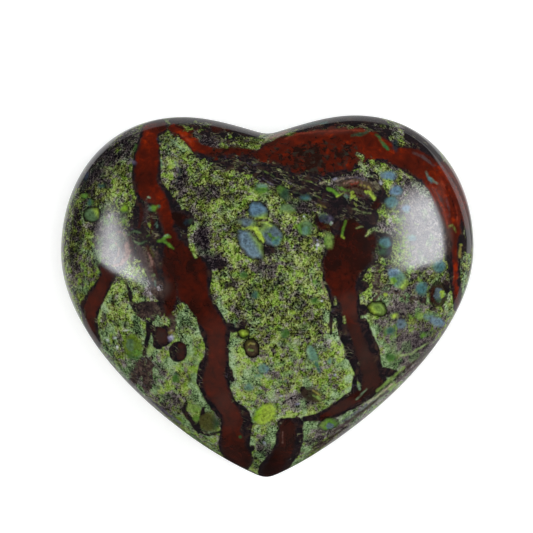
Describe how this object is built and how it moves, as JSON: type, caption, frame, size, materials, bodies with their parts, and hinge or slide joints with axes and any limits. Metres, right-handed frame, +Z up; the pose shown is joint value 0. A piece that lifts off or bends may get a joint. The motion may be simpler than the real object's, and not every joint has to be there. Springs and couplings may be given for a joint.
{
  "type": "dragon blood jasper heart",
  "caption": "Puffy heart-shaped palm stone, ground and polished from solid green and red jasper, lying on its back.",
  "frame": {"origin": "under the middle of the outline's box, on the plane that the stone rests on", "axes": "+Z up through the front dome, +Y from the tip towards the cleft, +X towards the right lobe as seen from the front"},
  "size_m": [0.045, 0.0392, 0.0209],
  "materials": {
    "jasper": "polished"
  },
  "bodies": {
    "root": {"heart": "jasper"}
  },
  "joints": []
}
